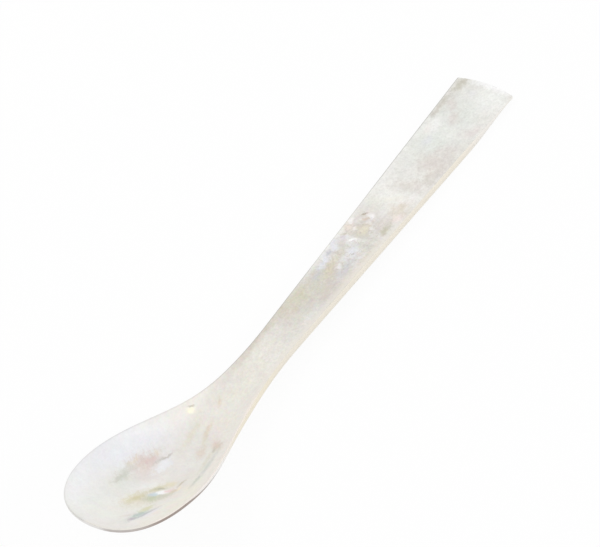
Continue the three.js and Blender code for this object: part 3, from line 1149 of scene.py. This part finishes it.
def floor_sheet(stage):
    """A level sheet that reaches far past the picture."""
    mesh = bpy.data.meshes.new("floor")
    reach = FLOOR_REACH
    corners = [(-reach, -reach, 0), (reach, -reach, 0), (reach, reach, 0), (-reach, reach, 0)]
    mesh.from_pydata(corners, [], [(0, 1, 2, 3)])
    mesh.materials.append(pale_floor(stage))
    return add_object("floor", mesh)


def lamp_place(azimuth, elevation):
    return direction(math.radians(azimuth), math.radians(elevation)) * LAMP_DISTANCE


def soft_lamp(name, power, width, place):
    data = bpy.data.lights.new(name, "AREA")
    data.shape = "DISK"
    data.size = width
    data.energy = power
    lamp = add_object(name, data)
    lamp.location = place
    lamp.rotation_euler = (-place).to_track_quat("-Z", "Y").to_euler()
    return lamp


def photo_camera(stage):
    data = bpy.data.cameras.new("photo_camera")
    data.lens = stage.lens
    data.sensor_width = FILM_WIDTH
    data.clip_start = SEEN_FROM
    data.clip_end = SEEN_TO
    camera = add_object("photo_camera", data)
    back = direction(stage.azimuth, stage.elevation)
    camera.rotation_mode = "QUATERNION"
    camera.rotation_quaternion = (-back).to_track_quat("-Z", "Y") @ Quaternion((0, 0, 1), stage.roll)
    camera.location = Vector(stage.look_at) + back * stage.distance
    return camera


# Operators


class EGGSPOON_OT_shell_spoon(Operator):
    """Makes the spoon's fine surface in the place of its solid"""

    bl_idname = "egg_spoon.shell_spoon"
    bl_label = "Shell Spoon"

    def execute(self, context):
        shape = context.scene.spoon_shape
        material = shell_nacre(context.scene.spoon_finish)
        group, identifiers = spoon_tree(shape, material)
        maker = add_object("shell_spoon_maker", bpy.data.meshes.new("shell_spoon_maker"))
        modifier = maker.modifiers.new("shape", "NODES")
        modifier.node_group = group
        for key, identifier in identifiers.items():
            modifier[identifier] = getattr(shape, key)
        depsgraph = context.evaluated_depsgraph_get()
        mesh = bpy.data.meshes.new_from_object(
            maker.evaluated_get(depsgraph), preserve_all_data_layers=True, depsgraph=depsgraph
        )
        if not mesh.polygons:
            raise RuntimeError("the spoon's node tree made no faces")
        bpy.data.objects.remove(maker)
        mesh.name = "nacre_spoon"
        spoon = add_object("nacre_spoon", mesh)
        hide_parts(CAD_NODE)
        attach(spoon, BODY)
        return {"FINISHED"}


class EGGSPOON_OT_studio(Operator):
    """Sets up the floor, the lamps and the camera"""

    bl_idname = "egg_spoon.studio"
    bl_label = "Studio"

    def execute(self, context):
        stage = context.scene.spoon_stage
        scene = context.scene
        scene.view_settings.view_transform = "Standard"
        scene.world = surrounding_light(stage)
        floor_sheet(stage)
        soft_lamp("front_lamp", stage.front_power, stage.front_size, lamp_place(*FRONT_LAMP_FROM))
        top_lamp = soft_lamp("top_lamp", stage.top_power, stage.top_size, lamp_place(*TOP_LAMP_FROM))
        top_lamp.visible_glossy = False
        scene.camera = photo_camera(stage)
        return {"FINISHED"}


class EGGSPOON_PT_panel(Panel):
    """Lists what makes the spoon and its studio"""

    bl_label = "Egg Spoon"
    bl_idname = "EGGSPOON_PT_panel"
    bl_space_type = "VIEW_3D"
    bl_region_type = "UI"
    bl_category = "Egg Spoon"

    def draw(self, context):
        groups = (
            (EGGSPOON_OT_shell_spoon, context.scene.spoon_shape, SpoonShape),
            (None, context.scene.spoon_finish, ShellFinish),
            (EGGSPOON_OT_studio, context.scene.spoon_stage, StudioStage),
        )
        for operator, settings, kind in groups:
            box = self.layout.box()
            if operator:
                box.operator(operator.bl_idname)
            for key in kind.__annotations__:
                box.prop(settings, key)


CLASSES = (
    SpoonShape,
    ShellFinish,
    StudioStage,
    EGGSPOON_OT_shell_spoon,
    EGGSPOON_OT_studio,
    EGGSPOON_PT_panel,
)
SETTINGS = (("spoon_shape", SpoonShape), ("spoon_finish", ShellFinish), ("spoon_stage", StudioStage))


def register():
    for kind in CLASSES:
        bpy.utils.register_class(kind)
    for name, kind in SETTINGS:
        setattr(bpy.types.Scene, name, PointerProperty(type=kind))


def unregister():
    for name, _ in SETTINGS:
        delattr(bpy.types.Scene, name)
    for kind in reversed(CLASSES):
        bpy.utils.unregister_class(kind)


def main():
    register()
    bpy.ops.egg_spoon.shell_spoon()
    bpy.ops.egg_spoon.studio()


if __name__ == "__main__":
    main()
